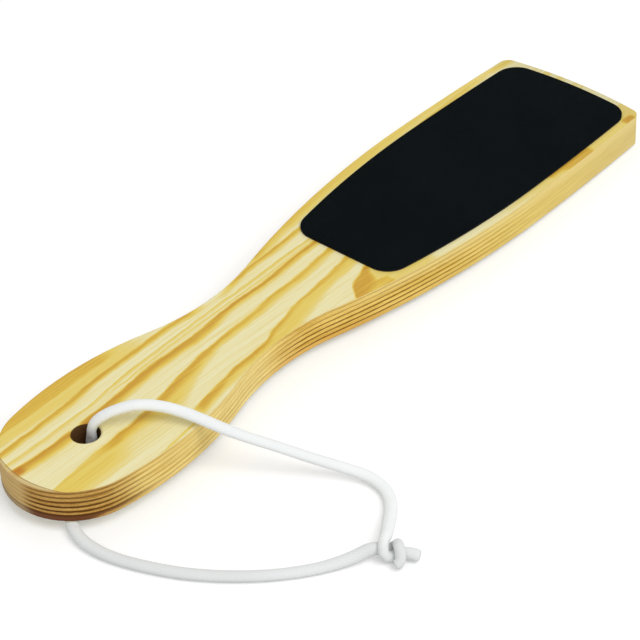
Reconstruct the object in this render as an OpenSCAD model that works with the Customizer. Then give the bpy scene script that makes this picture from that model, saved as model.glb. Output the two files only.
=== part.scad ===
// A wooden foot file: a paddle of plywood with an abrasive pad on each side of
// its head, and a hanging cord tied through the hole in its handle.
// It lies on its lower pad and on its own cord. +X runs from handle to head,
// +Z is up, and the origin is on the table under the middle of the board.

/* [Board] */
// Length from the handle's end to the middle of the head's end
board_l = 265; // [240:1:300]
// Thickness of the plywood
board_t = 11; // [8:0.5:14]
// Thickness of the face veneer on top, which is sanded thin
face_ply_t = 0.6; // [0.5:0.05:1]
// Thickness of the face veneer of the underside
bottom_ply_t = 1.75; // [1.2:0.05:2.2]
// Thickness of each glue line
glue_t = 0.1; // [0.05:0.05:0.2]
// Number of plies in the core
core_plies = 5; // [3:2:7]

/* [Handle] */
// Greatest width of the handle
handle_w = 48; // [42:0.5:52]
// Distance from the handle's end to its greatest width
handle_wide_x = 38.5; // [32:0.5:44]
// Width of the neck at its narrowest place
neck_w = 30.5; // [26:0.5:36]
// Distance from the handle's end to the narrowest place of the neck
neck_x = 95.5; // [90:0.5:105]
// Radius of the hollows at the sides of the neck
neck_r = 78.7; // [65:0.1:90]

/* [Head] */
// Greatest width of the head
head_w = 60; // [50:0.5:70]
// Distance from the handle's end to the greatest width of the head
head_wide_x = 205; // [185:1:215]
// How far each side of the head draws in towards the end
head_draw_in = 1.5; // [0.5:0.1:3]
// How far the head's end bows out in its middle
end_bow = 2.4; // [1:0.2:5]
// Radius of the head's two corners
corner_r = 3.8; // [2:0.2:6]

/* [Hanging hole] */
// Diameter of the hanging hole
hole_d = 9; // [8.8:0.2:12]
// Distance from the handle's end to the hole's centre
hole_x = 27; // [25:0.5:29]
// How far the hole's two rims are eased
rim_ease = 0.5; // [0.3:0.1:0.8]

/* [Abrasive pads] */
// Bare wood between a pad and the head's sides
pad_side_margin = 3.7; // [2:0.1:6]
// Bare wood between a pad and the head's end
pad_end_margin = 3; // [1:0.5:8]
// Distance from the handle's end to the straight rear end of the pads
pad_start_x = 139.5; // [130:0.5:155]
// Radius of the pads' corners
pad_corner_r = 8; // [4:0.5:12]
// How far the pads are stuck off the head's middle line
pad_shift = 0.8; // [0:0.1:1.5]
// Thickness of the adhesive film
adhesive_t = 0.15; // [0.1:0.05:0.3]
// Thickness of the backing
backing_t = 0.35; // [0.2:0.05:0.6]
// Thickness of the coat of grit
grit_t = 0.3; // [0.2:0.05:0.5]

/* [Cord] */
// Diameter of the hanging cord
cord_d = 4; // [3:0.2:4.2]
// Gap between the cord on the table and the handle that rests on it
seat_gap = 0.1; // [0.05:0.05:0.3]
// Radius of the knot's core
knot_core_r = 4; // [3.6:0.1:4.6]
// Radius at which the cord is wrapped round the knot
knot_wrap_r = 2.8; // [2.4:0.1:2.8]

/* [Hidden] */
core_nodes = [for (i = [1 : core_plies]) str("core_ply_", i)];
glue_nodes = [for (i = [1 : core_plies + 1]) str("glue_line_", i)];
pad_nodes = ["top_pad_adhesive", "top_pad_backing", "top_pad_grit",
             "bottom_pad_adhesive", "bottom_pad_backing", "bottom_pad_grit"];
cord_nodes = ["cord_upper_strand", "cord_under_handle", "cord_lower_strand",
              "cord_knot", "cord_tail_long", "cord_tail_short"];

$fn = 96;
// Facets of the outline's long arcs
long_arc_fn = 720;
// Overrun of every cut
over = 1;

// How far two arcs that lead into each other overlap, so that they cross cleanly
blend = 0.005;
// Radii of the head's long arcs are whole steps of this
radius_step = 0.01;

// Sum of the radii of two arcs that lead smoothly over a run and a rise
function sum_of_radii(run, rise) = (run * run + rise * rise) / (2 * rise);
function in_steps(r) = radius_step * round(r / radius_step);

// Handle: one arc at each side, which leads into the hollow of the neck
handle_half = handle_w / 2;
handle_run = neck_x - handle_wide_x;
handle_sum = sum_of_radii(handle_run, (handle_w - neck_w) / 2);
handle_r = handle_sum - neck_r;
handle_bend_x = handle_wide_x + handle_run * handle_r / handle_sum;

// Round end, which touches the handle's two arcs from inside
end_r = (2 * handle_r * handle_half - handle_half * handle_half - handle_wide_x * handle_wide_x)
    / (2 * (handle_r - handle_wide_x));
end_touch_x = end_r - end_r * (handle_wide_x - end_r) / (handle_r - end_r);

// Shoulder: one arc at each side, from the hollow of the neck to the widest place
shoulder_run = head_wide_x - neck_x;
shoulder_sum = sum_of_radii(shoulder_run, (head_w - neck_w) / 2);
shoulder_r = in_steps(shoulder_sum - neck_r);
shoulder_bend_x = head_wide_x - shoulder_run * shoulder_r / shoulder_sum;

// Head: long flat arcs at the sides and across the end
side_r = in_steps(sum_of_radii(board_l - head_wide_x, head_draw_in));
end_face_r = in_steps(sum_of_radii(head_w / 2 - head_draw_in, end_bow));
end_face_mid = [board_l - end_face_r, 0];

// Plies, from the underside up
core_ply_t = (board_t - face_ply_t - bottom_ply_t - (core_plies + 1) * glue_t) / core_plies;
ply_step = core_ply_t + glue_t;

// The board lies on the far edge of its lower pad and on the cord under its hole
pad_t = adhesive_t + backing_t + grit_t;
pad_far_x = board_l - pad_end_margin;
lift_angle = asin((cord_d + seat_gap - pad_t) / (pad_far_x - hole_x));

// The cord's axis: from the knot over the handle, down through the hole,
// along the table under the handle and back to the knot
cord_points = [
    [-75.3, -88.6, 4.3], [-69.5, -84.6, 2.8], [-63.6, -80.6, 2], [-59, -75.4, 2],
    [-57.8, -68.6, 2.6], [-60.6, -62, 4.2], [-65, -55.6, 6.6], [-69.2, -49.2, 9.2],
    [-73.2, -43, 11.8], [-77, -37, 14], [-80, -31, 16], [-82, -25, 17.6],
    [-84, -19.2, 18.8], [-86.6, -14.4, 19.8], [-89.8, -10.8, 20.6], [-93, -8.2, 21.2],
    [-96, -5.7, 21.2], [-98.6, -3.5, 20.8], [-100.8, -1.5, 19.6], [-102.5, 0, 17.4],
    [-103.3, 0.8, 14.4], [-103.2, 0.8, 11.4], [-103.2, 0.7, 8.4], [-104.3, 0.2, 5.5],
    [-106.4, -0.6, 3.2], [-109.2, -1.7, 2], [-112.2, -2.9, 2], [-115.4, -4.4, 2],
    [-119, -6.6, 2], [-123.4, -10, 2], [-127.2, -14.6, 2], [-129.4, -20, 2],
    [-129.6, -27, 2], [-128, -34.6, 2], [-125, -43, 2], [-121, -52, 2],
    [-115.6, -60.6, 2], [-109, -69, 2], [-102, -76, 2], [-94, -82, 2],
    [-86.6, -86.4, 2.4], [-81, -89.2, 4.1]
];
// Points between which the cord lies straight on the table under the handle
under_from = 26;
under_to = 29;
// Middle of the knot, and where each tail leaves it and ends
knot_at = [-78, -90.6, 4.8];
tail_long_points = [[-76.2, -93.8, 4.2], [-74.9, -98.8, 2.4]];
tail_short_points = [[-80.4, -93.4, 3.6], [-81.6, -96.8, 2.2]];
// Slopes of the knot's two wraps
wrap_turns = [[20, 65, 0], [75, -30, 40]];
cord_sides = 10;
rings_per_point = 2;
// Width and length of a tail's blunt tip, as shares of the cord's radius
tip_width_share = 0.7;
tip_length_share = 0.4;

// A smooth curve that follows the points and starts and ends on the outer two
cord_last = len(cord_points) - 1;
cord_frame = concat([2 * cord_points[0] - cord_points[1]], cord_points,
                    [2 * cord_points[cord_last] - cord_points[cord_last - 1]]);
function curve_point(s) =
    let (i = min(floor(s), cord_last - 1), t = s - i, u = 1 - t)
    (u * u * u * cord_frame[i] + (3 * t * t * t - 6 * t * t + 4) * cord_frame[i + 1]
     + (3 * u * u * u - 6 * u * u + 4) * cord_frame[i + 2] + t * t * t * cord_frame[i + 3]) / 6;
function unit(v) = v / norm(v);

// Rings round the axis, carried along it without twist
ring_last = cord_last * rings_per_point;
ring_mids = [for (k = [0 : ring_last]) curve_point(k / rings_per_point)];
ring_ways = [for (k = [0 : ring_last]) unit(ring_mids[min(k + 1, ring_last)] - ring_mids[max(k - 1, 0)])];
function across(v, way) = unit(v - (v * way) * way);
ring_sides = [
    for (k = 0, side = across([0, 0, 1], ring_ways[0]); k <= ring_last;
         k = k + 1, side = across(side, ring_ways[min(k, ring_last)]))
        side
];
function ring(k) = [
    for (a = [0 : cord_sides - 1])
        let (turn = 360 * a / cord_sides)
        ring_mids[k] + cord_d / 2 * (cos(turn) * ring_sides[k] + sin(turn) * cross(ring_ways[k], ring_sides[k]))
];

// Places its children with their +Z axis pointing from one point to another
module pointing(from, to) {
    along = to - from;
    translate(from)
        rotate([0, acos(along.z / norm(along)), atan2(along.y, along.x)])
            children();
}

module both_sides() {
    children();
    mirror([0, 1, 0])
        children();
}

// A strip across the board from one distance to another
module between(x_from, x_to) {
    translate([x_from, -head_w])
        square([x_to - x_from, 2 * head_w]);
}

// A stretch that is widest at x_mid
module bulge(x_mid, half_w, r) {
    intersection_for (side = [1, -1])
        translate([x_mid, side * (half_w - r)])
            circle(r, $fn = long_arc_fn);
}

// Everything outside the two lines from a round corner's middle through the
// points where its circle touches the edges
module corner_sector(mid, touch_1, touch_2) {
    out_1 = touch_1 - mid;
    out_2 = touch_2 - mid;
    polygon([mid, touch_1 + out_1, mid + 2 * (out_1 + out_2), touch_2 + out_2]);
}

// Rounds the two like corners of its children
module with_round_corners(mid, touch_1, touch_2, r) {
    difference() {
        children();
        both_sides()
            difference() {
                corner_sector(mid, touch_1, touch_2);
                translate(mid)
                    circle(r + blend);
            }
    }
}

// Where two circles meet, on the side nearer the head's end
function meeting(p, p_r, q, q_r) =
    let (d = norm(q - p), along = (p_r * p_r - q_r * q_r + d * d) / (2 * d),
         aside = sqrt(p_r * p_r - along * along), way = (q - p) / d)
    p + along * way + aside * [-way.y, way.x];
// Point of a circle straight out from its middle through another point
function straight_out(middle, through, r) = middle + r * unit(through - middle);

// The head's front with its sides, its bowed end and round corners,
// all drawn in by a margin
module head_front(side_margin, end_margin, r) {
    side_mid = [head_wide_x, head_w / 2 - side_r];
    round_mid = meeting(end_face_mid, end_face_r - end_margin - r, side_mid, side_r - side_margin - r);
    with_round_corners(round_mid,
                       straight_out(side_mid, round_mid, side_r - side_margin),
                       straight_out(end_face_mid, round_mid, end_face_r - end_margin), r)
        intersection() {
            bulge(head_wide_x, head_w / 2 - side_margin, side_r - side_margin);
            translate(end_face_mid)
                circle(end_face_r - end_margin, $fn = long_arc_fn);
            between(head_wide_x, board_l + over);
        }
}

module board_outline() {
    difference() {
        union() {
            translate([end_r + blend, 0])
                circle(end_r + blend);
            intersection() {
                bulge(handle_wide_x, handle_half, handle_r);
                between(end_touch_x, neck_x);
            }
            translate([handle_bend_x, -handle_half])
                square([shoulder_bend_x - handle_bend_x, handle_w]);
            intersection() {
                bulge(head_wide_x, head_w / 2, shoulder_r);
                between(neck_x, head_wide_x);
            }
            head_front(0, 0, corner_r);
        }
        both_sides()
            translate([neck_x, neck_w / 2 + neck_r])
                circle(neck_r + blend, $fn = long_arc_fn);
    }
}

module pad_outline() {
    shoulder_mid = [head_wide_x, head_w / 2 - shoulder_r];
    pad_shoulder_r = shoulder_r - pad_side_margin;
    round_x = pad_start_x + pad_corner_r;
    round_reach = pad_shoulder_r - pad_corner_r;
    round_y = shoulder_mid.y + sqrt(round_reach * round_reach - (round_x - head_wide_x) * (round_x - head_wide_x));
    round_mid = [round_x, round_y];
    translate([0, -pad_shift]) {
        with_round_corners(round_mid, [pad_start_x, round_y],
                           straight_out(shoulder_mid, round_mid, pad_shoulder_r), pad_corner_r)
            intersection() {
                bulge(head_wide_x, head_w / 2 - pad_side_margin, pad_shoulder_r);
                between(pad_start_x, head_wide_x);
            }
        head_front(pad_side_margin, pad_end_margin, pad_corner_r);
    }
}

// The hanging hole with its two eased rims
module hole_cutter() {
    hole_r = hole_d / 2;
    wide_r = hole_r + rim_ease + over;
    translate([hole_x, 0, 0])
        rotate_extrude()
            polygon([[0, -over], [wide_r, -over], [hole_r, rim_ease], [hole_r, board_t - rim_ease],
                     [wide_r, board_t + over], [0, board_t + over]]);
}

// Takes a piece of the board from its flat drawing to where it lies
module lifted() {
    translate([-(board_l * cos(lift_angle) + board_t * sin(lift_angle)) / 2, 0,
               pad_far_x * sin(lift_angle) + pad_t * cos(lift_angle)])
        rotate([0, lift_angle, 0])
            children();
}

module board_layer(z, t) {
    lifted()
        difference() {
            translate([0, 0, z])
                linear_extrude(t)
                    board_outline();
            hole_cutter();
        }
}

module pad_layer(z, t) {
    lifted()
        translate([0, 0, z])
            linear_extrude(t)
                pad_outline();
}

module bottom_face_veneer() {
    color([0.88, 0.74, 0.45])
        board_layer(0, bottom_ply_t);
}

module top_face_veneer() {
    color([0.93, 0.83, 0.55])
        board_layer(board_t - face_ply_t, face_ply_t);
}

module core_ply(i) {
    color(i % 2 == 0 ? [0.85, 0.7, 0.42] : [0.78, 0.6, 0.34])
        board_layer(bottom_ply_t + glue_t + (i - 1) * ply_step, core_ply_t);
}

module glue_line(i) {
    color([0.4, 0.24, 0.1])
        board_layer(bottom_ply_t + (i - 1) * ply_step, glue_t);
}

module top_pad_adhesive() {
    color([0.36, 0.27, 0.17])
        pad_layer(board_t, adhesive_t);
}

module top_pad_backing() {
    color([0.18, 0.19, 0.22])
        pad_layer(board_t + adhesive_t, backing_t);
}

module top_pad_grit() {
    color([0.08, 0.1, 0.11])
        pad_layer(board_t + adhesive_t + backing_t, grit_t);
}

module bottom_pad_adhesive() {
    color([0.36, 0.27, 0.17])
        pad_layer(-adhesive_t, adhesive_t);
}

module bottom_pad_backing() {
    color([0.18, 0.19, 0.22])
        pad_layer(-adhesive_t - backing_t, backing_t);
}

module bottom_pad_grit() {
    color([0.08, 0.1, 0.11])
        pad_layer(-pad_t, grit_t);
}

// The stretch of cord from one ring to another
module cord_stretch(k_from, k_to) {
    rings = k_to - k_from;
    points = [for (k = [k_from : k_to]) each ring(k)];
    first_cap = [for (a = [0 : cord_sides - 1]) a];
    last_cap = [for (a = [cord_sides - 1 : -1 : 0]) rings * cord_sides + a];
    walls = [
        for (k = [0 : rings - 1], a = [0 : cord_sides - 1])
            let (here = k * cord_sides, next_a = (a + 1) % cord_sides)
            each [[here + a, here + cord_sides + a, here + cord_sides + next_a],
                  [here + a, here + cord_sides + next_a, here + next_a]]
    ];
    color([0.95, 0.95, 0.94])
        polyhedron(points, concat([first_cap, last_cap], walls));
}

module cord_upper_strand() {
    cord_stretch(0, under_from * rings_per_point);
}

module cord_under_handle() {
    cord_stretch(under_from * rings_per_point, under_to * rings_per_point);
}

module cord_lower_strand() {
    cord_stretch(under_to * rings_per_point, ring_last);
}

// A tail, from where it leaves the knot to its blunt tip
module tail(points) {
    r = cord_d / 2;
    l = norm(points[1] - points[0]);
    color([0.93, 0.94, 0.93])
        pointing(points[0], points[1])
            rotate_extrude()
                polygon([[0, 0], [r, 0], [r, l], [tip_width_share * r, l + tip_length_share * r],
                         [0, l + tip_length_share * r]]);
}

module cord_tail_long() {
    tail(tail_long_points);
}

module cord_tail_short() {
    tail(tail_short_points);
}

// A wrapped ball, cut flat where each strand and tail meets it
module cord_knot() {
    cut = 2 * (knot_core_r + cord_d);
    color([0.93, 0.94, 0.93])
        difference() {
            translate(knot_at) {
                sphere(knot_core_r);
                for (turn = wrap_turns)
                    rotate(turn)
                        rotate_extrude()
                            translate([knot_wrap_r, 0])
                                circle(cord_d / 2);
            }
            pointing(ring_mids[0], ring_mids[0] + ring_ways[0])
                cylinder(cut, cut, cut);
            pointing(ring_mids[ring_last], ring_mids[ring_last] - ring_ways[ring_last])
                cylinder(cut, cut, cut);
            for (points = [tail_long_points, tail_short_points])
                pointing(points[0], points[1])
                    cylinder(cut, cut, cut);
        }
}

bottom_face_veneer();
top_face_veneer();
for (i = [1 : core_plies])
    core_ply(i);
for (i = [1 : core_plies + 1])
    glue_line(i);
top_pad_adhesive();
top_pad_backing();
top_pad_grit();
bottom_pad_adhesive();
bottom_pad_backing();
bottom_pad_grit();
cord_upper_strand();
cord_under_handle();
cord_lower_strand();
cord_knot();
cord_tail_long();
cord_tail_short();
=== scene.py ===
import math

import bpy
import numpy as np
from mathutils import Matrix, Vector


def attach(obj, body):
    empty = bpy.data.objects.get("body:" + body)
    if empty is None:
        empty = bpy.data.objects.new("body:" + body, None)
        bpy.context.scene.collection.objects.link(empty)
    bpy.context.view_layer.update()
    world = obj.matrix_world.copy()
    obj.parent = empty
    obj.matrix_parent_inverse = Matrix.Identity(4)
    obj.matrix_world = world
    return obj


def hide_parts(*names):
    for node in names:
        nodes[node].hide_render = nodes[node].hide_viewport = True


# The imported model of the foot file. It lies along X with its handle towards -X. All lengths here are metres,
# except where a name or a comment says millimetres.
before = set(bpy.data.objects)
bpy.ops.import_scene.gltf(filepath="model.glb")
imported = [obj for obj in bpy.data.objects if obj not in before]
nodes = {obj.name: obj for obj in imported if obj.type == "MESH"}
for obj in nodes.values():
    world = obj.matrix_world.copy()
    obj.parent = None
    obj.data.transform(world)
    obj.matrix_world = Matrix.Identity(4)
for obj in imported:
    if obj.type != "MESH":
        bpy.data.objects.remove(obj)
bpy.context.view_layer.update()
MM = 0.001

# How the flat board lies in the model: it leans by this angle about Y, and its handle's end on the
# underside lies at this place, in millimetres
BOARD_LEAN = math.radians(0.8046)
BOARD_FROM = (-132.564, 0.0, 4.479)
# The board's length, the radius of its handle's round end, and the hanging hole's place along the board and
# its radius, in millimetres
BOARD_L = 265.0
HANDLE_END_R = 22.556
HOLE_X = 27.0
HOLE_R = 4.5
# The middle of the lowest glue line above the underside, and the step from one to the next, in millimetres
GLUE_MID = 1.8
PLY_STEP = 1.71


def add_camera():
    """The camera, at the photograph's place and with its view."""
    sensor_mm, focal_pixels, photo_pixels = 36.0, 2559.21, 640.0
    place = Vector((-469.508, -438.352, 499.964)) * MM
    forward = Vector((0.57097, 0.53672, -0.62123))
    up = Vector((0.49279, 0.38115, 0.78223))
    right = forward.cross(up).normalized()
    data = bpy.data.cameras.new("photo_camera")
    data.sensor_width = sensor_mm
    data.lens = sensor_mm * focal_pixels / photo_pixels
    data.clip_start = 0.01
    data.clip_end = 20.0
    camera = bpy.data.objects.new("photo_camera", data)
    bpy.context.scene.collection.objects.link(camera)
    turn = Matrix((right, right.cross(forward).normalized(), -forward)).transposed()
    camera.matrix_world = Matrix.Translation(place) @ turn.to_4x4()
    bpy.context.scene.camera = camera


add_camera()


# The hanging cord's axis in millimetres, by points that its smooth curve follows: from the knot over the
# handle, down through the hole, along the table under the handle and back to the knot
CORD_POINTS = [
    (-75.3, -88.6, 4.3), (-69.5, -84.6, 2.8), (-63.6, -80.6, 2), (-59, -75.4, 2),
    (-57.8, -68.6, 2.6), (-60.6, -62, 4.2), (-65, -55.6, 6.6), (-69.2, -49.2, 9.2),
    (-73.2, -43, 11.8), (-77, -37, 14), (-80, -31, 16), (-82, -25, 17.6),
    (-84, -19.2, 18.8), (-86.6, -14.4, 19.8), (-89.8, -10.8, 20.6), (-93, -8.2, 21.2),
    (-96, -5.7, 21.2), (-98.6, -3.5, 20.8), (-100.8, -1.5, 19.6), (-102.5, 0, 17.4),
    (-103.3, 0.8, 14.4), (-103.2, 0.8, 11.4), (-103.2, 0.7, 8.4), (-104.3, 0.2, 5.5),
    (-106.4, -0.6, 3.2), (-109.2, -1.7, 2), (-112.2, -2.9, 2), (-115.4, -4.4, 2),
    (-119, -6.6, 2), (-123.4, -10, 2), (-127.2, -14.6, 2), (-129.4, -20, 2),
    (-129.6, -27, 2), (-128, -34.6, 2), (-125, -43, 2), (-121, -52, 2),
    (-115.6, -60.6, 2), (-109, -69, 2), (-102, -76, 2), (-94, -82, 2),
    (-86.6, -86.4, 2.4), (-81, -89.2, 4.1),
]
# How the cord goes on into the knot at each end, in millimetres: one end goes half a turn over the other and
# then half a turn under it, the other end under and then over, and each goes out as a tail, to its tip
OVER_END_POINTS = [
    (-77.4, -90, 5.6), (-80, -91.2, 5.8), (-82, -92.8, 3.8), (-80.4, -93.8, 1.8),
    (-78.2, -94.6, 1.8), (-76.8, -95.8, 2.2), (-75.8, -97.8, 2.4), (-74.7, -100.2, 2.1),
]
UNDER_END_POINTS = [
    (-79.4, -90.6, 1.8), (-77.4, -91.4, 1.6), (-76, -92.8, 2.8), (-77, -94.2, 5.2),
    (-78.4, -95.8, 5.4), (-79.4, -97.2, 3.6), (-80.6, -97.8, 2.4), (-81.8, -97, 1.9),
]
CORD_D = 4.0
# The soft cord is a little flat: this share of its width is its thickness, or this near the top of its arch
FLAT_SHARE = 0.72
ARCH_SHARE = 0.78
# Its middle lies lower by this, in millimetres, times a share that changes along it
SETTLE = 0.56
# Its radius where it is pressed in the knot, in the tails and at their tips, in millimetres
KNOT_R = 1.62
TAIL_R = 1.85
TIP_R = 1.45
# The point where its first stretch, over the handle and down to the bend under it, ends and its second,
# along the table, starts
UNDER_FROM = 26
CORD_LAST = len(CORD_POINTS) - 1
# The step between the places along its curve, in millimetres, the number of them over which its flat side's
# turn is evened out, and the number of sides of its tube
CURVE_STEP = 0.35
EVEN_OVER = 61
CORD_SIDES = 48


def smooth_curve(points, step):
    """Places along the smooth curve that follows the points, with the point that each place is at."""
    points = np.array(points, float)
    points = np.vstack([2 * points[0] - points[1], points, 2 * points[-1] - points[-2]])
    places = []
    at = []
    for i in range(len(points) - 3):
        count = max(2, int(np.linalg.norm(points[i + 2] - points[i + 1]) / step))
        for t in np.arange(count) / count:
            u = 1 - t
            near = u ** 3 * points[i] + (3 * t ** 3 - 6 * t ** 2 + 4) * points[i + 1]
            far = (3 * u ** 3 - 6 * u ** 2 + 4) * points[i + 2] + t ** 3 * points[i + 3]
            places.append((near + far) / 6)
            at.append(i + t)
    places.append(points[-2])
    at.append(len(points) - 3)
    return np.array(places), np.array(at)


def cord_frames(places):
    """Two directions across the axis at each place, carried along it without twist."""
    ways = np.gradient(places, axis=0)
    ways /= np.linalg.norm(ways, axis=1)[:, None]
    side = np.cross(ways[0], (0.0, 0.0, 1.0))
    sides = []
    for way in ways:
        side = side - way * side.dot(way)
        side /= np.linalg.norm(side)
        sides.append(side)
    sides = np.array(sides)
    return sides, np.cross(ways, sides)


def flat_ways(places):
    """The way out of the cord's flat side at each place, which turns slowly."""
    ways = np.gradient(places, axis=0)
    ways /= np.linalg.norm(ways, axis=1)[:, None]
    level = np.cross(ways, (0.0, 0.0, 1.0))
    window = np.hanning(EVEN_OVER)
    level = np.stack([np.convolve(level[:, k], window, mode="same") for k in range(3)], axis=1)
    level -= ways * (level * ways).sum(axis=1)[:, None]
    level /= np.linalg.norm(level, axis=1)[:, None]
    return np.cross(level, ways)


def wave(s, lengths, seed):
    """A slow, uneven swing between about -1 and 1 along a cord, always the same for one seed."""
    phases = np.random.default_rng(seed).uniform(0, 2 * math.pi, len(lengths))
    swings = [np.sin(2 * math.pi * s / length + phase) for length, phase in zip(lengths, phases)]
    return sum(swings) / len(lengths)


def by_stops(at, stops):
    """A value at each place of the cord, which changes evenly from one stop, a point and its value, to the
    next."""
    points, values = zip(*stops)
    return np.interp(at, points, values)


def cord_mesh(name, places, sides, ups, outs, thins, radii, lengths, caps):
    """A tube through the places, with its length in millimetres and its turn kept in a map for the braid.
    Across its flat sides, along the outs, its thickness is multiplied by the thins."""
    angles = 2 * math.pi * np.arange(CORD_SIDES) / CORD_SIDES
    vertices = []
    for place, side, up, out, thin, radius, length in zip(places, sides, ups, outs, thins, radii, lengths):
        oval = 0.985 + 0.015 * np.cos(2 * angles + length / 9)
        ring = np.cos(angles)[:, None] * side + np.sin(angles)[:, None] * up
        ring = ring - ring.dot(out)[:, None] * out * (1 - thin)
        vertices.append(place + ring * (radius * oval)[:, None])
    rings = len(places)
    vertices = np.vstack(vertices) * MM
    faces = []
    turns = []
    for k in range(rings - 1):
        for a in range(CORD_SIDES):
            b = (a + 1) % CORD_SIDES
            here, beyond = k * CORD_SIDES, (k + 1) * CORD_SIDES
            faces.append((here + a, here + b, beyond + b, beyond + a))
            turns += [(a / CORD_SIDES, lengths[k]), ((a + 1) / CORD_SIDES, lengths[k]),
                      ((a + 1) / CORD_SIDES, lengths[k + 1]), (a / CORD_SIDES, lengths[k + 1])]
    for k, closed in ((0, caps[0]), (rings - 1, caps[1])):
        ring = [k * CORD_SIDES + a for a in range(CORD_SIDES)]
        if not closed:
            continue
        faces.append(tuple(reversed(ring)) if k == 0 else tuple(ring))
        turns += [(0.5, lengths[k])] * CORD_SIDES
    mesh = bpy.data.meshes.new(name)
    mesh.from_pydata(vertices.tolist(), [], faces)
    layer = mesh.uv_layers.new(name="braid_map")
    layer.data.foreach_set("uv", np.array(turns, float).ravel())
    mesh.polygons.foreach_set("use_smooth", [len(face) == 4 for face in faces])
    mesh.update()
    piece = bpy.data.objects.new(name, mesh)
    bpy.context.scene.collection.objects.link(piece)
    return piece


def build_cord():
    """The whole cord as one smooth run, cut into its stretches: the two ends in the knot and the loop."""
    run = OVER_END_POINTS[::-1] + CORD_POINTS + UNDER_END_POINTS
    first = len(OVER_END_POINTS)
    places, at = smooth_curve(run, CURVE_STEP)
    at = at - first
    steps = np.linalg.norm(np.diff(places, axis=0), axis=1)
    lengths = np.concatenate([[0.0], np.cumsum(steps)])
    sides, ups = cord_frames(places)
    outs = flat_ways(places)
    # The cord is round in the knot and under the handle, and a little flat elsewhere
    last = CORD_LAST
    thins = by_stops(at, [
        (0.3, 1), (2.5, FLAT_SHARE), (11, FLAT_SHARE), (13.5, ARCH_SHARE), (15.5, ARCH_SHARE),
        (18, FLAT_SHARE), (21, FLAT_SHARE), (24.5, 1), (30.5, 1), (33, FLAT_SHARE),
        (last - 2.2, FLAT_SHARE), (last - 0.6, 1)])
    settled = by_stops(at, [
        (0, 0), (2.5, 1), (5, 1), (7.5, 0.3), (12, 0.1), (14, -0.65), (15, -0.65), (16.5, 0.8), (17.5, 1.6),
        (18.3, 1.6), (19.2, 1.15), (20.5, 1), (24.5, 0), (30.5, 0), (33, 1), (last - 2.2, 1),
        (last - 0.4, 0)])
    places = places - outs * (SETTLE * settled)[:, None]
    # The cord is pressed thinner in the knot, swells in the tails and is blunt at its tips
    over_tip, over_tail, over_knot = -first, -5.5, -1.5
    under_knot, under_tail, under_tip = last + 1.5, last + 5.5, last + len(UNDER_END_POINTS)
    radii = by_stops(at, [
        (over_tip, TIP_R), (over_tip + 0.25, TAIL_R), (over_tail, TAIL_R), (-4, KNOT_R), (over_knot, KNOT_R),
        (0.6, CORD_D / 2), (last - 0.6, CORD_D / 2), (under_knot, KNOT_R), (last + 4, KNOT_R),
        (under_tail, TAIL_R - 0.2), (under_tip - 0.25, TAIL_R - 0.3), (under_tip, TIP_R - 0.2)])
    radii = radii * (0.99 + 0.01 * wave(lengths, [3.1, 5.3, 8.9, 23.0], 5))

    def stretch(name, start, end, caps):
        keep = (at >= start - 1e-9) & (at <= end + 1e-9)
        rows = [values[keep] for values in (places, sides, ups, outs, thins, radii, lengths)]
        return cord_mesh(name, *rows, caps), places[keep]

    over_end, _ = stretch("knot_over_end", over_tip, 0, (True, False))
    upper, upper_path = stretch("cord_over_handle", 0, UNDER_FROM, (False, False))
    lower, lower_path = stretch("cord_along_table", UNDER_FROM, last, (False, False))
    under_end, _ = stretch("knot_under_end", last, under_tip, (False, True))
    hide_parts("cord_knot", "cord_tail_long")
    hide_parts("cord_upper_strand")
    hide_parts("cord_under_handle", "cord_lower_strand")
    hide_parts("cord_tail_short")
    for piece in (over_end, upper, lower, under_end):
        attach(piece, "root")

    return [over_end, upper, lower, under_end]


cord_pieces = build_cord()


def srgb(red, green, blue):
    """A colour that renders as these 0 to 255 values, for a shader's socket."""
    shares = [value / 255 for value in (red, green, blue)]
    linear = [share / 12.92 if share <= 0.04045 else ((share + 0.055) / 1.055) ** 2.4 for share in shares]
    return (*linear, 1.0)


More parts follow.
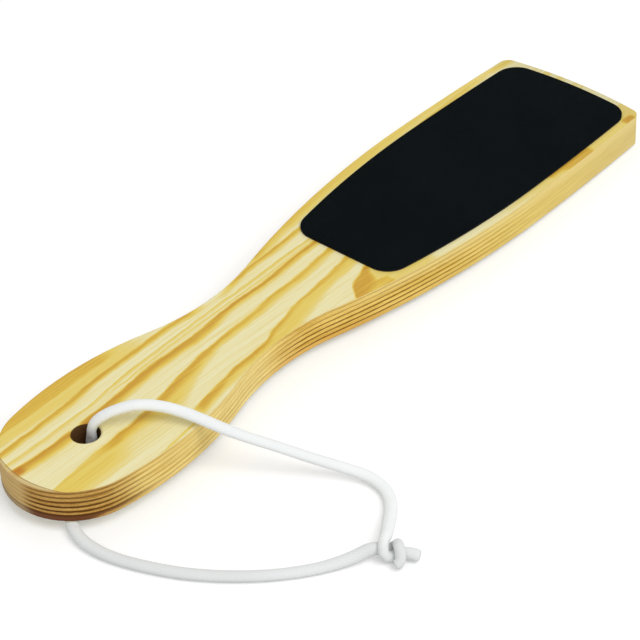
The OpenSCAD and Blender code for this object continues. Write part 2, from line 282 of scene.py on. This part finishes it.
class Look:
    """A material, with one short method for each kind of node."""

    def __init__(self, name):
        self.material = bpy.data.materials.new(name)
        self.material.use_nodes = True
        self.nodes = self.material.node_tree.nodes
        self.links = self.material.node_tree.links
        self.nodes.clear()
        self.shader = self.nodes.new("ShaderNodeBsdfPrincipled")
        self.output = self.nodes.new("ShaderNodeOutputMaterial")
        self.links.new(self.shader.outputs[0], self.output.inputs["Surface"])

    def feed(self, socket, value):
        """Joins a socket to a node's output, or gives it a plain value."""
        if isinstance(value, bpy.types.NodeSocket):
            self.links.new(value, socket)
        else:
            socket.default_value = value

    def set(self, **values):
        for name, value in values.items():
            self.feed(self.shader.inputs[name.replace("_", " ")], value)

    def math(self, operation, a, b=0.0):
        node = self.nodes.new("ShaderNodeMath")
        node.operation = operation
        self.feed(node.inputs[0], a)
        self.feed(node.inputs[1], b)
        return node.outputs[0]

    def add(self, a, b):
        return self.math("ADD", a, b)

    def subtract(self, a, b):
        return self.math("SUBTRACT", a, b)

    def times(self, a, b):
        return self.math("MULTIPLY", a, b)

    def greater(self, a, b):
        return self.math("MAXIMUM", a, b)

    def from_to(self, value, start, end, low=0.0, high=1.0, smooth=True):
        """Goes from low to high as the value goes from start to end."""
        node = self.nodes.new("ShaderNodeMapRange")
        node.interpolation_type = "SMOOTHSTEP" if smooth else "LINEAR"
        for place, given in enumerate((value, start, end, low, high)):
            self.feed(node.inputs[place], given)
        return node.outputs[0]

    def blend(self, share, a, b):
        """Colour a, turning to colour b with the share."""
        node = self.nodes.new("ShaderNodeMix")
        node.data_type = "RGBA"
        self.feed(node.inputs[0], share)
        self.feed(node.inputs[6], a)
        self.feed(node.inputs[7], b)
        return node.outputs[2]

    def shade(self, colour, level):
        """A colour made lighter or darker by a level around 1."""
        node = self.nodes.new("ShaderNodeVectorMath")
        node.operation = "SCALE"
        self.feed(node.inputs[0], colour)
        self.feed(node.inputs[3], level)
        return node.outputs[0]

    def ramp(self, value, stops):
        node = self.nodes.new("ShaderNodeValToRGB")
        elements = node.color_ramp.elements
        while len(elements) < len(stops):
            elements.new(0.5)
        for element, (place, colour) in zip(elements, stops):
            element.position = place
            element.color = colour
        self.feed(node.inputs[0], value)
        return node.outputs[0]

    def stretched(self, place, x, y, z):
        """A place measured in steps of these lengths."""
        node = self.nodes.new("ShaderNodeVectorMath")
        node.operation = "DIVIDE"
        self.feed(node.inputs[0], place)
        self.feed(node.inputs[1], (x, y, z))
        return node.outputs[0]

    def noise(self, place, detail=2.0, roughness=0.5):
        """Cloudy noise between about 0.25 and 0.75."""
        node = self.nodes.new("ShaderNodeTexNoise")
        self.feed(node.inputs["Vector"], place)
        self.feed(node.inputs["Scale"], 1.0)
        self.feed(node.inputs["Detail"], detail)
        self.feed(node.inputs["Roughness"], roughness)
        return node.outputs[0]

    def parts(self, vector):
        node = self.nodes.new("ShaderNodeSeparateXYZ")
        self.feed(node.inputs[0], vector)
        return node.outputs[0], node.outputs[1], node.outputs[2]

    def join(self, x, y, z):
        node = self.nodes.new("ShaderNodeCombineXYZ")
        self.feed(node.inputs[0], x)
        self.feed(node.inputs[1], y)
        self.feed(node.inputs[2], z)
        return node.outputs[0]

    def bump(self, height, depth, strength=1.0):
        """A surface that rises by this many metres as the height goes from 0 to 1."""
        node = self.nodes.new("ShaderNodeBump")
        node.inputs["Strength"].default_value = strength
        node.inputs["Distance"].default_value = depth
        self.feed(node.inputs["Height"], height)
        return node.outputs[0]

    def object_place(self):
        return self.nodes.new("ShaderNodeTexCoord").outputs["Object"]

    def board_place(self):
        """The place on the flat board in millimetres: from the handle's end, across, and up."""
        node = self.nodes.new("ShaderNodeMapping")
        turn, c, s = -BOARD_LEAN, math.cos(BOARD_LEAN), math.sin(BOARD_LEAN)
        x, _, z = BOARD_FROM
        node.inputs["Location"].default_value = (s * z - c * x, 0, -s * x - c * z)
        node.inputs["Rotation"].default_value = (0, turn, 0)
        node.inputs["Scale"].default_value = (1000, 1000, 1000)
        self.feed(node.inputs["Vector"], self.object_place())
        return node.outputs[0]

    def line(self, x, points):
        """The height in millimetres of a smooth line through given points, at a distance x."""
        node = self.nodes.new("ShaderNodeFloatCurve")
        curve = node.mapping.curves[0]
        # The node's curve goes from 0 to 1, which stands for heights from -40 to 40
        reach = 40.0
        spots = [(px / BOARD_L, (py + reach) / (2 * reach)) for px, py in points]
        while len(curve.points) < len(spots):
            curve.points.new(0.5, 0.5)
        for point, spot in zip(curve.points, spots):
            point.location = spot
        node.mapping.update()
        self.feed(node.inputs["Value"], self.times(x, 1 / BOARD_L))
        return self.subtract(self.times(node.outputs[0], 2 * reach), reach)


def ring_band(look, x, y, points, core, fade, dark, pale, edge=0.35, start=None, end=None, ends=8.0):
    """The late wood of one growth ring on the face: sharp along its upper line, dark for a core width below
    it, and then paler until it fades out. Start and end are the distances between which it shows."""
    above = look.subtract(y, look.line(x, points))
    dark_core = look.from_to(above, look.times(core, -1.6), look.times(core, -0.4), 0.0,
                             look.subtract(dark, pale))
    pale_rest = look.from_to(above, look.times(fade, -1.0), look.times(fade, -0.45), 0.0, pale)
    tint = look.add(dark_core, pale_rest)
    share = look.times(look.from_to(above, edge, -edge), tint)
    if start is not None:
        share = look.times(share, look.from_to(x, start - ends, start + ends))
    if end is not None:
        share = look.times(share, look.from_to(x, end + ends, end - ends))
    return share


def stripe(look, x, y, points, width, soft, dark, end, ends):
    """A band of even colour along a line, with soft edges, up to the distance where it ends."""
    aside = look.math("ABSOLUTE", look.subtract(y, look.line(x, points)))
    share = look.from_to(aside, width / 2 + soft, width / 2 - soft, 0.0, dark)
    return look.times(share, look.from_to(x, end + ends, end - ends))


def face_figure(look, x, y):
    """How dark the rings are at each place of the pine face: 0 is cream, 0.5 yellow and 1 orange-brown."""
    toward_head = look.from_to(x, 95, 200, 0.0, 0.34)
    hole_band_fade = look.from_to(x, 44, 84, 12.0, 4.0)
    near_band_fade = look.times(look.from_to(x, 84, 98, 0.5, 1.0), look.from_to(x, 100, 130, 10.0, 6.0))
    bands = [
        # Along the far edge of the handle, even in colour, and along the far edge of the head
        stripe(look, x, y, [(0, 22.4), (35, 22.5), (50, 23), (265, 23)], 8.8, 1.0, 0.74, end=60, ends=8),
        stripe(look, x, y, [(0, 20), (265, 20)], 11.0, 1.4, 0.36, end=66, ends=8),
        ring_band(look, x, y, [(0, 18), (110, 18.6), (128, 22.2), (140, 24.4), (205, 31), (265, 30.5)],
                  2.4, 5.6, look.subtract(0.84, toward_head), 0.44, start=118, ends=6),
        # The second band, which runs out over the neck's far edge and comes back
        ring_band(look, x, y, [(0, 13), (15, 13.5), (25, 14), (33, 14.5), (40, 15.2), (50, 15.9), (60, 16.2),
                               (80, 16.5), (92, 15.6), (265, 15)],
                  1.7, 3.2, 0.86, 0.4, edge=0.6, end=90, ends=5),
        ring_band(look, x, y, [(0, 14), (100, 14.4), (105, 15.6), (115, 17.5), (130, 17.7), (140, 18.6),
                               (205, 26), (265, 28)],
                  1.3, 2.8, look.subtract(0.92, toward_head), 0.4, edge=0.5, start=104),
        # Two thin ones
        ring_band(look, x, y, [(0, 7.5), (33, 8.0), (50, 9.6), (83, 11.2), (140, 12.6), (265, 16)],
                  0.45, 1.6, 0.6, 0.25, edge=0.25),
        ring_band(look, x, y, [(0, 6), (33, 6.6), (50, 7.9), (83, 9.3), (140, 10.8), (265, 14)],
                  0.4, 1.2, 0.4, 0.2, edge=0.25, start=46),
        # The broad one that runs into the hole and on towards the pad
        ring_band(look, x, y, [(0, 5), (5, 4.2), (12, 3.7), (23, 3.9), (33, 4.4), (40, 4.9), (50, 6.1),
                               (60, 7.1), (70, 6.9), (80, 6.8), (95, 8.3), (110, 8.6), (125, 9.4),
                               (140, 10.4), (265, 12)],
                  look.from_to(x, 84, 100, 2.8, 1.6), look.from_to(x, 84, 100, 5.0, 3.6), 0.92, 0.44,
                  edge=0.5),
        # The one below the hole
        ring_band(look, x, y, [(0, -11), (8, -9.8), (20, -8.6), (30, -7.9), (40, -6.9), (46, -6.1),
                               (54, -4.8), (62, -3.2), (70, -1.9), (80, -0.9), (90, 0), (100, 0.5),
                               (110, 1.6), (125, 2.5), (140, 4.1), (265, 7)],
                  look.times(look.from_to(x, 20, 30, 0.35, 1.0), look.from_to(x, 62, 84, 3.2, 1.7)),
                  hole_band_fade,
                  look.subtract(look.from_to(x, 20, 32, 0.58, 0.86), look.from_to(x, 80, 100, 0.0, 0.12)),
                  look.from_to(x, 40, 90, 0.52, 0.42), edge=0.5),
        # The one nearest to the near edge, and a short thin line below it
        ring_band(look, x, y, [(0, -24), (53, -17.6), (60, -16.1), (70, -14.7), (76, -13.6), (88, -12.6),
                               (92, -11.8), (97, -9.9), (103, -8.8), (110, -6.9), (125, -5.3), (135, -4),
                               (140, -3), (265, 0)],
                  look.from_to(x, 60, 72, 3.0, 1.6), near_band_fade, look.from_to(x, 88, 104, 0.84, 0.74),
                  0.46, edge=0.5, start=54, ends=4),
        ring_band(look, x, y, [(0, -25), (35, -23.4), (42, -22.6), (50, -21.6), (62, -20.5), (265, -20)],
                  0.6, 1.4, 0.7, 0.3, start=36, end=52, ends=5),
    ]
    figure = bands[0]
    for band in bands[1:]:
        figure = look.greater(figure, band)
    # The pale place on the near side of the handle, and the paler end of the head
    pale_x = look.times(look.subtract(x, 39.0), 1 / 13)
    pale_y = look.times(look.add(y, 16.5), 1 / 7)
    away = look.math("SQRT", look.add(look.times(pale_x, pale_x), look.times(pale_y, pale_y)))
    figure = look.times(figure, look.from_to(away, 0.5, 1.3, 0.25, 1.0))
    figure = look.times(figure, look.from_to(x, 236, 256, 1.0, 0.3))
    patches = [
        # The dark edge of a knot just before the pad's near corner, and the yellow wood beyond it
        ring_band(look, x, y, [(0, -40), (117, -27), (124.5, -20.2), (127, -17.4), (130.6, -14.2), (135, -13),
                               (139.5, -10.8), (150, -9), (265, -9)],
                  look.from_to(x, 133, 140, 7.5, 1.8), look.from_to(x, 133, 140, 16.0, 3.8), 0.89, 0.5,
                  edge=0.6, start=123, end=140.5, ends=1.5),
        ring_band(look, x, y, [(0, -17), (133, -17.2), (139, -19.6), (265, -21)],
                  6.0, 12.0, 0.68, 0.5, edge=0.5, start=133, end=140, ends=1.0),
        ring_band(look, x, y, [(0, -14), (265, -14)], 1.0, 30.0, 0.33, 0.33, start=134, end=156, ends=3),
        # The near rim of the head, the patch on it and the patch at its corner
        ring_band(look, x, y, [(0, -20), (265, -20)], 1.0, 30.0, 0.36, 0.34, start=200, ends=20),
        ring_band(look, x, y, [(0, -26), (265, -26)], look.from_to(x, 218, 225, 2.4, 5.0),
                  look.from_to(x, 218, 225, 5.0, 9.0), 0.84, 0.42, start=213, end=236, ends=2),
        ring_band(look, x, y, [(0, -26), (265, -26.4)], 4.5, 8.0, 0.88, 0.42,
                  start=254.5, end=260.5, ends=1.4),
        # A patch at the far corner
        ring_band(look, x, y, [(0, 40), (245, 28.5), (265, 27)], 1.2, 3.0, 0.6, 0.3, start=250, ends=6),
    ]
    for patch in patches:
        figure = look.greater(figure, patch)
    return figure


def distance(look, x, y, middle_x):
    """The distance on the board from a place on its middle line."""
    aside = look.subtract(x, middle_x)
    return look.math("SQRT", look.add(look.times(aside, aside), look.times(y, y)))


def in_hole(look, x, y):
    """1 on the hanging hole's wall, and 0 on the faces and the outer edge."""
    return look.from_to(distance(look, x, y, HOLE_X), HOLE_R + 0.7, HOLE_R + 0.3)


def pale_end_highlight(look, x, y):
    """1 at the middle of the handle's end, where a painted highlight makes the edge pale and the glue lines
    faint.
    """
    return look.times(look.from_to(x, 9, 4), look.times(look.from_to(y, -5.5, 0.5), look.from_to(y, 18, 10)))


def edge_wood(look, place, lengthwise):
    """The colour of the plywood's sanded edge, with fibres or end grain, and the fibres' height."""
    x, y, z = look.parts(place)
    steps = (26, 0.5, 0.28) if lengthwise else (0.42, 26, 0.3)
    fibres = look.noise(look.stretched(place, *steps), detail=3.0, roughness=0.6)
    clouds = look.noise(look.stretched(place, 18, 18, 1.1), detail=2.0)
    streaks = look.noise(look.stretched(place, 14, 14, 0.42), detail=2.0)
    share = look.times(x, 1 / BOARD_L)
    light = look.ramp(share, [
        (0.0, srgb(222, 178, 100)), (0.05, srgb(224, 180, 98)), (0.1, srgb(250, 224, 140)),
        (0.3, srgb(251, 231, 155)),
        (0.4, srgb(252, 218, 120)), (0.55, srgb(250, 220, 124)), (0.75, srgb(240, 216, 128)),
        (1.0, srgb(232, 212, 140))])
    deep = look.ramp(share, [
        (0.0, srgb(170, 120, 48)), (0.05, srgb(174, 124, 48)), (0.1, srgb(222, 184, 94)),
        (0.3, srgb(231, 201, 118)),
        (0.4, srgb(206, 158, 56)), (0.55, srgb(216, 176, 72)), (0.75, srgb(220, 190, 96)),
        (1.0, srgb(212, 186, 112))])
    mixed = look.add(look.from_to(fibres, 0.3, 0.7, 0.0, 0.35), look.from_to(clouds, 0.3, 0.7, -0.1, 0.25))
    mixed = look.add(mixed, look.from_to(streaks, 0.36, 0.64, 0.0, 0.5))
    # Towards the head's end the sanded edge is smoother and more even
    mixed = look.add(0.5, look.times(look.subtract(mixed, 0.5), look.from_to(x, 185, 235, 1.0, 0.5)))
    colour = look.blend(mixed, light, deep)
    # The upper wood is paler. Under the neck the lowest wood is warmer, and at the handle's end the lowest
    # glue line has stained the wood dark reddish brown. Nearest the end this dark reaches down to the
    # underside: painted shade along the lower edge
    pale = look.times(look.from_to(z, 6.0, 10.6), look.from_to(x, 100, 150))
    colour = look.blend(look.times(pale, 0.65), colour, srgb(242, 220, 146))
    under_neck = look.times(look.from_to(x, 80, 100), look.from_to(x, 170, 110))
    warm = look.times(look.from_to(z, 4.2, 0.4), under_neck)
    colour = look.blend(look.times(warm, 0.5), colour, srgb(214, 152, 50))
    stain_and_shade_from = look.from_to(x, 14, 7, 0.5, -1.0)
    stain_and_shade = look.times(look.from_to(z, stain_and_shade_from, look.add(stain_and_shade_from, 0.8)),
                      look.times(look.from_to(z, 2.7, 2.1), look.from_to(x, 36, 16)))
    colour = look.blend(look.times(stain_and_shade, look.from_to(x, 16, 6, 0.75, 0.95)), colour, srgb(100, 46, 6))
    # The middle of the handle's end is painted pale: a painted highlight
    colour = look.blend(look.times(pale_end_highlight(look, x, y), 0.35), colour, srgb(236, 216, 156))
    return colour, fibres


def line_tint(look, x):
    """The colour of the glue lines and the wood stained by them."""
    return look.ramp(look.times(x, 1 / BOARD_L), [
        (0.0, srgb(82, 46, 0)), (0.05, srgb(90, 52, 0)), (0.12, srgb(140, 98, 24)),
        (0.3, srgb(158, 114, 38)), (0.4, srgb(126, 78, 2)), (0.52, srgb(128, 80, 4)),
        (0.65, srgb(166, 118, 32)), (0.8, srgb(188, 146, 60))])


def line_strength(look, x, y, z):
    """How strongly the glue lines show: most at the handle and low down, and not at all at the head's end."""
    low = look.from_to(z, 10.8, 5.0, look.from_to(x, 34, 60, 0.65, 0.35), 1.0)
    mid_handle = look.subtract(1.0, look.times(look.from_to(x, 10, 34, 0.0, 0.64), look.from_to(x, 106, 88)))
    shown = look.times(look.times(look.from_to(x, 225, 150), low), mid_handle)
    # The glue lines are fainter under the painted highlight at the handle's end
    return look.times(shown, look.subtract(1.0, look.times(pale_end_highlight(look, x, y), 0.8)))


def hole_scorch_and_shade(look, x, y, colour):
    # The hanging hole's wall is painted dark reddish brown: partly the drill's scorch, partly painted shade
    # inside the hole
    return look.blend(look.times(in_hole(look, x, y), 0.93), colour, srgb(80, 42, 26))


def pine_face(name, underside):
    """Sanded pine veneer with wide wavy rings, fine fibres and a satin surface."""
    look = Look(name)
    place = look.board_place()
    true_x, true_y, z = look.parts(place)
    x, y = true_x, true_y
    if underside:
        # The same figure, turned end for end and shifted a little across
        shift = 3.0
        x = look.subtract(BOARD_L, x)
        y = look.subtract(shift, y)
    drift = look.noise(look.join(look.times(x, 1 / 34), look.times(y, 1 / 15), 0.0), detail=1.0)
    ragged = look.noise(look.join(look.times(x, 1 / 5), look.times(y, 1 / 2.4), 3.0), detail=2.0)
    wavy_y = look.add(y, look.times(look.subtract(drift, 0.5), 2.0))
    wavy_y = look.add(wavy_y, look.times(look.subtract(ragged, 0.5), 1.1))
    figure = face_figure(look, x, wavy_y)
    streaks = look.noise(look.join(look.times(x, 1 / 60), look.times(wavy_y, 1 / 0.9), 7.0),
                         detail=3.0, roughness=0.6)
    fibres = look.noise(look.join(look.times(x, 1 / 14), look.times(y, 1 / 0.22), 11.0),
                        detail=3.0, roughness=0.65)
    figure = look.add(figure, look.times(look.subtract(streaks, 0.44), 0.62))
    figure = look.add(figure, look.times(look.subtract(fibres, 0.5), 0.24))
    colour = look.ramp(figure, [
        (0.0, srgb(236, 228, 180)), (0.22, srgb(230, 210, 129)), (0.5, srgb(229, 203, 98)),
        (0.75, srgb(219, 182, 68)), (1.0, srgb(202, 150, 44))])
    level = look.times(look.from_to(fibres, 0.2, 0.8, 0.93, 1.05, smooth=False),
                       look.from_to(x, 252, 262, 1.0, 0.87))
    # A small orange fleck where the figure starts: at the handle's end of the upper face
    fleck_across = look.times(look.from_to(wavy_y, 0.4, 1.8), look.from_to(wavy_y, 4.6, 3.4))
    fleck = look.times(look.from_to(x, 6.0, 3.0), fleck_across)
    colour = look.blend(look.times(fleck, 0.7), colour, srgb(186, 108, 14))
    pores = look.noise(look.join(look.times(x, 1 / 3.2), look.times(y, 1 / 0.16), 19.0), detail=1.0)
    level = look.times(level, look.from_to(pores, 0.7, 0.8, 1.0, 0.84))
    face = look.shade(colour, level)
    if not underside:
        # The upper rim of the handle's end is worn: paler up to a depth in millimetres, with a dark seam
        inset = look.subtract(HANDLE_END_R, distance(look, true_x, y, HANDLE_END_R))
        depth = look.from_to(true_x, 5.5, 1.0, -0.3, 1.5)
        beyond = look.subtract(inset, depth)
        at_end = look.from_to(true_x, 7.5, 5.5)
        face = look.blend(look.times(look.from_to(beyond, 0.3, -0.2), look.times(at_end, 0.8)), face,
                          srgb(202, 174, 112))
        seam = look.times(look.from_to(beyond, 0.25, 0.0), look.from_to(beyond, -0.35, -0.1))
        face = look.blend(look.times(seam, look.times(at_end, 0.8)), face, srgb(138, 98, 40))
    # Its cut edges look as the plies' edges do
    edge, _ = edge_wood(look, place, True)
    near_line = look.from_to(z, 1.3, 1.72) if underside else look.from_to(z, 10.75, 10.42)
    edge = look.blend(look.times(near_line, look.times(line_strength(look, true_x, true_y, z), 0.8)), edge,
                      line_tint(look, true_x))
    edge = hole_scorch_and_shade(look, true_x, true_y, edge)
    _, _, facing = look.parts(look.nodes.new("ShaderNodeTexCoord").outputs["Normal"])
    colour = look.blend(look.from_to(look.math("ABSOLUTE", facing), 0.3, 0.6), edge, face)
    rim = look.nodes.new("ShaderNodeBevel")
    rim.samples = 4
    rim.inputs["Radius"].default_value = 0.0004
    bump = look.bump(look.subtract(fibres, look.times(figure, 0.35)), 0.00006)
    look.links.new(rim.outputs[0], bump.node.inputs["Normal"])
    look.set(Base_Color=colour,
             Roughness=look.from_to(figure, 0.0, 1.0, 0.56, 0.44, smooth=False),
             Specular_IOR_Level=0.3, Normal=bump)
    return look.material


def ply_edge(name, lengthwise):
    """A core ply. Its grain runs along the board or across it, so its edge shows fibres or end grain."""
    look = Look(name)
    place = look.board_place()
    x, y, z = look.parts(place)
    colour, fibres = edge_wood(look, place, lengthwise)
    # The wood is stained next to each glue line
    ragged = look.noise(look.stretched(place, 2.5, 2.5, 0.5), detail=2.0)
    ragged = look.times(look.subtract(ragged, 0.5), 0.3)
    from_line = look.add(look.math("PINGPONG", look.subtract(z, GLUE_MID), PLY_STEP / 2), ragged)
    reach = look.from_to(x, 36, 18, 0.36, 0.6)
    stain = look.times(look.from_to(from_line, reach, 0.16), look.times(line_strength(look, x, y, z), 0.95))
    colour = look.blend(stain, colour, line_tint(look, x))
    colour = hole_scorch_and_shade(look, x, y, colour)
    look.set(Base_Color=look.shade(colour, look.from_to(fibres, 0.2, 0.8, 1.05, 0.93, smooth=False)),
             Roughness=0.65, Specular_IOR_Level=0.1,
             Normal=look.bump(fibres, 0.00008))
    return look.material


def glue_line():
    """A thin dark line of cured glue, which fades towards the head where the edge is sanded smooth."""
    look = Look("glue_line")
    place = look.board_place()
    x, y, z = look.parts(place)
    specks = look.noise(look.stretched(place, 1.6, 1.6, 0.4), detail=3.0)
    wood, _ = edge_wood(look, place, True)
    shown = look.times(line_strength(look, x, y, z), look.from_to(specks, 0.25, 0.6, 0.7, 1.0))
    colour = hole_scorch_and_shade(look, x, y, look.blend(shown, wood, line_tint(look, x)))
    look.set(Base_Color=colour, Roughness=look.from_to(specks, 0.3, 0.7, 0.45, 0.65), Specular_IOR_Level=0.12,
             Normal=look.bump(specks, 0.00003))
    return look.material


def abrasive(name, grain):
    """A coat of dark grit: sharp grains of the given size in millimetres in a matt black binder."""
    look = Look(name)
    place = look.board_place()
    grains = look.nodes.new("ShaderNodeTexVoronoi")
    look.feed(grains.inputs["Vector"], look.stretched(place, grain, grain, grain))
    height, tint = grains.outputs["Distance"], grains.outputs["Color"]
    patches = look.noise(look.stretched(place, 22, 22, 22), detail=3.0)
    pick, shine, _ = look.parts(tint)
    colour = look.blend(look.from_to(pick, 0.2, 0.95), srgb(4, 9, 11), srgb(14, 21, 24))
    # A few grains are painted pale grey: painted glints
    colour = look.blend(look.from_to(pick, 0.985, 0.995), colour, srgb(84, 92, 98))
    # Each grain is lighter at its middle and darker towards its edges: painted light on the grains' tops and
    # painted shade between them
    level = look.times(look.from_to(height, 0.0, 0.8, 1.15, 0.7), look.from_to(patches, 0.3, 0.7, 0.9, 1.1))
    # The grains stand out by a fifth of their size
    look.set(Base_Color=look.shade(colour, level), Roughness=look.from_to(shine, 0.0, 1.0, 0.55, 0.95),
             Specular_IOR_Level=0.02,
             Normal=look.bump(height, -0.0002 * grain, strength=0.8))
    return look.material


def pad_backing():
    """The cut edge of the abrasive's cloth backing, dark and fibrous."""
    look = Look("pad_backing")
    place = look.board_place()
    threads = look.noise(look.stretched(place, 0.5, 0.5, 0.12), detail=3.0)
    look.set(Base_Color=look.blend(threads, srgb(20, 24, 28), srgb(44, 46, 50)), Roughness=0.9,
             Specular_IOR_Level=0.1, Normal=look.bump(threads, 0.00008))
    return look.material


def pad_adhesive():
    """The thin film of amber adhesive under the backing, with dust caught on it."""
    look = Look("pad_adhesive")
    place = look.board_place()
    dust = look.noise(look.stretched(place, 0.8, 0.8, 0.2), detail=4.0, roughness=0.6)
    look.set(Base_Color=look.blend(dust, srgb(58, 40, 26), srgb(104, 80, 52)),
             Roughness=look.from_to(dust, 0.3, 0.7, 0.35, 0.7), Specular_IOR_Level=0.3,
             Normal=look.bump(dust, 0.00004))
    return look.material


def braided_cord():
    """Soft white braided cord: strands that pass over and under each other, with fine fibres."""
    look = Look("braided_cord")
    braid = look.nodes.new("ShaderNodeUVMap")
    braid.uv_map = "braid_map"
    turn, along, _ = look.parts(braid.outputs[0])
    strands, pitch = 12.0, 1.5
    one = look.add(look.times(turn, strands), look.times(along, 1 / pitch))
    other = look.subtract(look.times(turn, strands), look.times(along, 1 / pitch))
    hump_one = look.math("SINE", look.times(look.math("FRACT", one), math.pi))
    hump_other = look.math("SINE", look.times(look.math("FRACT", other), math.pi))
    cell = look.add(look.math("FLOOR", one), look.math("FLOOR", other))
    over = look.math("FLOORED_MODULO", cell, 2.0)
    height = look.add(look.times(over, hump_one), look.times(look.subtract(1.0, over), hump_other))
    fibre, soiled = 0.16 * MM, 12 * MM
    fibres = look.noise(look.stretched(look.object_place(), fibre, fibre, fibre), detail=3.0, roughness=0.7)
    soil = look.noise(look.stretched(look.object_place(), soiled, soiled, soiled), detail=3.0)
    relief = look.add(look.times(height, 0.75), look.times(fibres, 0.25))
    # Darker in the hollows between the braid's strands: painted shade
    level = look.times(look.from_to(height, 0.0, 0.7, 0.95, 1.0), look.from_to(soil, 0.3, 0.7, 0.985, 1.0))
    level = look.times(level, look.from_to(fibres, 0.25, 0.75, 0.985, 1.01))
    # How light it is along its run, in millimetres from the tip of its first end: greyer along the table and
    # in the knot, and lighter, as painted light, from the first end along the strand that leaves the knot
    greyer_on_table = look.times(look.from_to(along, 170, 192, 1.0, 0.87), look.from_to(along, 230, 244, 1.0, 1.04))
    knotted = look.times(look.from_to(along, 17, 12, 1.0, 0.88), look.from_to(along, 262, 268, 1.0, 0.94))
    # Painted light: lighter from the first end along the strand that leaves the knot
    rising_strand_painted_light = look.from_to(along, 62, 46, 1.0, 1.035)
    level = look.times(level, look.times(greyer_on_table, look.times(knotted, rising_strand_painted_light)))
    look.set(Base_Color=look.shade(srgb(241, 244, 243)[:3], level), Roughness=0.9, Specular_IOR_Level=0.15,
             Sheen_Weight=0.1, Sheen_Roughness=0.5,
             Normal=look.bump(relief, 0.00007, strength=0.7))
    return look.material


def dress():
    """Gives every CAD node and every piece its material."""
    looks = {
        "top_face_veneer": pine_face("pine_face_top", False),
        "bottom_face_veneer": pine_face("pine_face_bottom", True),
        "top_pad_grit": abrasive("fine_abrasive", 0.16),
        "bottom_pad_grit": abrasive("coarse_abrasive", 0.34),
    }
    along = ply_edge("ply_along", True)
    across = ply_edge("ply_across", False)
    glue = glue_line()
    backing = pad_backing()
    adhesive = pad_adhesive()
    cord = braided_cord()
    for name, node in nodes.items():
        if name.startswith("core_ply"):
            look = along if int(name[-1]) % 2 == 0 else across
        elif name.startswith("glue_line"):
            look = glue
        elif name.endswith("_backing"):
            look = backing
        elif name.endswith("_adhesive"):
            look = adhesive
        elif name.startswith("cord_"):
            look = cord
        else:
            look = looks[name]
        node.data.materials.clear()
        node.data.materials.append(look)
    for piece in cord_pieces:
        piece.data.materials.append(cord)


dress()


def add_floor():
    """A plain white floor that keeps the object's shadow, a hair below it so that they don't coincide."""
    size, below = 3.0, 0.02 * MM
    mesh = bpy.data.meshes.new("floor")
    corners = [(-size, -size, 0), (size, -size, 0), (size, size, 0), (-size, size, 0)]
    mesh.from_pydata(corners, [], [(0, 1, 2, 3)])
    floor = bpy.data.objects.new("floor", mesh)
    floor.location.z = -below
    bpy.context.scene.collection.objects.link(floor)
    look = Look("white_floor")
    look.set(Base_Color=(0.8, 0.8, 0.8, 1.0), Roughness=1.0, Specular_IOR_Level=0.0)
    glow = look.nodes.new("ShaderNodeEmission")
    path = look.nodes.new("ShaderNodeLightPath")
    look.feed(glow.inputs["Strength"], look.times(path.outputs["Is Camera Ray"], 0.27))
    both = look.nodes.new("ShaderNodeAddShader")
    look.links.new(look.shader.outputs[0], both.inputs[0])
    look.links.new(glow.outputs[0], both.inputs[1])
    look.links.new(both.outputs[0], look.output.inputs["Surface"])
    mesh.materials.append(look.material)


def add_light():
    """A white surround that lights evenly, and one broad lamp from above, on the near side."""
    world = bpy.data.worlds.new("white_surround")
    bpy.context.scene.world = world
    world.use_nodes = True
    tree = world.node_tree
    tree.nodes.clear()
    path = tree.nodes.new("ShaderNodeLightPath")
    lit = tree.nodes.new("ShaderNodeBackground")
    lit.inputs["Strength"].default_value = 0.8
    seen = tree.nodes.new("ShaderNodeBackground")
    seen.inputs["Strength"].default_value = 1.0
    white = tree.nodes.new("ShaderNodeMixShader")
    output = tree.nodes.new("ShaderNodeOutputWorld")
    glossy = tree.nodes.new("ShaderNodeMath")
    glossy.operation = "MAXIMUM"
    any_seen = tree.nodes.new("ShaderNodeMath")
    any_seen.operation = "MAXIMUM"
    tree.links.new(path.outputs["Is Glossy Ray"], glossy.inputs[0])
    tree.links.new(path.outputs["Is Transmission Ray"], glossy.inputs[1])
    tree.links.new(path.outputs["Is Camera Ray"], any_seen.inputs[0])
    tree.links.new(glossy.outputs[0], any_seen.inputs[1])
    tree.links.new(any_seen.outputs[0], white.inputs[0])
    tree.links.new(lit.outputs[0], white.inputs[1])
    tree.links.new(seen.outputs[0], white.inputs[2])
    tree.links.new(white.outputs[0], output.inputs["Surface"])
    size, away, level = 1.6, 2.2, 0.4
    way = Vector((-0.05, -0.56, 0.83)).normalized()
    lamp = bpy.data.lights.new("broad_lamp", "AREA")
    lamp.shape = "DISK"
    lamp.size = size
    # A disc lamp of this power gives a level surface below it that share of full light
    lamp.energy = level / way.z * math.pi * math.pi * away ** 2
    holder = bpy.data.objects.new("broad_lamp", lamp)
    holder.location = way * away
    holder.rotation_euler = way.to_track_quat("Z", "Y").to_euler()
    bpy.context.scene.collection.objects.link(holder)


add_floor()
add_light()
bpy.context.scene.view_settings.view_transform = "Standard"
